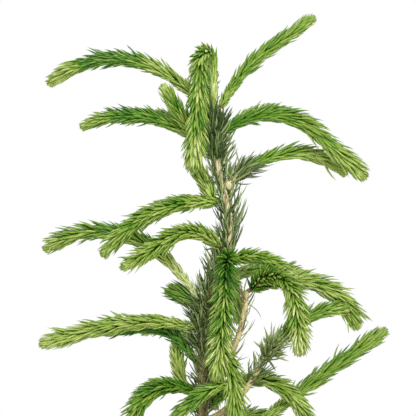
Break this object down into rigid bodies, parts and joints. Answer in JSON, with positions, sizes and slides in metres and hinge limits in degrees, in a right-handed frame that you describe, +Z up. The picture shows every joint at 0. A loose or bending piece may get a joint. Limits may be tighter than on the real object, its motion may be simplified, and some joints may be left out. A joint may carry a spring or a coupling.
{
  "type": "weeping spruce tree",
  "caption": "Young weeping spruce cut flat at ground level: a winding leader, bare side boughs and soft new shoots that arch out of the stem and hang.",
  "frame": {"origin": "centre of the flat cut under the trunk, at ground level", "axes": "+Z up along the trunk, +X to the right in the picture, -Y towards the camera"},
  "size_m": [0.3913, 0.3531, 0.6241],
  "materials": {
    "bark": "pale tan young bark, matt, ridged by leaf bases",
    "new_needles": "soft bright green needles of this year, slightly waxy, paler at the shoot tips",
    "old_needles": "stiff grey-green needles of last year, slightly waxy"
  },
  "bodies": {
    "root": {"trunk": "bark", "bough_lower_whorl_1": "bark", "bough_lower_whorl_2": "bark", "bough_lower_whorl_3": "bark", "bough_lower_whorl_4": "bark", "bough_right_bottom": "bark", "bough_right_low": "bark", "bough_right_short": "bark", "bough_right_tall": "bark", "bough_upper_whorl_1": "bark", "bough_upper_whorl_2": "bark", "bough_upper_whorl_3": "bark", "bough_upper_whorl_4": "bark", "shoot_back_low": "new_needles", "shoot_back_low_left": "new_needles", "shoot_back_low_right": "new_needles", "shoot_back_middle": "new_needles", "shoot_back_middle_left": "new_needles", "shoot_back_middle_right": "new_needles", "shoot_back_top": "new_needles", "shoot_back_top_left": "new_needles", "shoot_back_top_right": "new_needles", "shoot_front_high": "new_needles", "shoot_leader_hook": "new_needles", "shoot_left_hook": "new_needles", "shoot_left_long_arch": "new_needles", "shoot_left_long_low": "new_needles", "shoot_left_riser": "new_needles", "shoot_left_short": "new_needles", "shoot_left_under": "new_needles", "shoot_low_back": "new_needles", "shoot_low_front": "new_needles", "shoot_low_left": "new_needles", "shoot_right_bottom": "new_needles", "shoot_right_droop": "new_needles", "shoot_right_straight": "new_needles", "shoot_right_upper": "new_needles", "shoot_top_left_high": "new_needles", "shoot_top_left_low": "new_needles", "shoot_top_left_short": "new_needles", "shoot_top_right_high": "new_needles", "shoot_top_right_low": "new_needles", "shoot_top_right_middle": "new_needles", "shoots_front_low": "new_needles", "shoots_left_low": "new_needles", "shoots_lower_whorl_1": "new_needles", "shoots_lower_whorl_2": "new_needles", "shoots_lower_whorl_3": "new_needles", "shoots_lower_whorl_4": "new_needles", "shoots_middle_left": "new_needles", "shoots_right_arch": "new_needles", "shoots_right_low": "new_needles", "shoots_upper_whorl_1": "new_needles", "shoots_upper_whorl_2": "new_needles", "shoots_upper_whorl_3": "new_needles", "shoots_upper_whorl_4": "new_needles", "old_needles_leader": "old_needles", "old_needles_lower": "old_needles", "old_needles_middle": "old_needles", "old_needles_upper": "old_needles"}
  },
  "joints": []
}
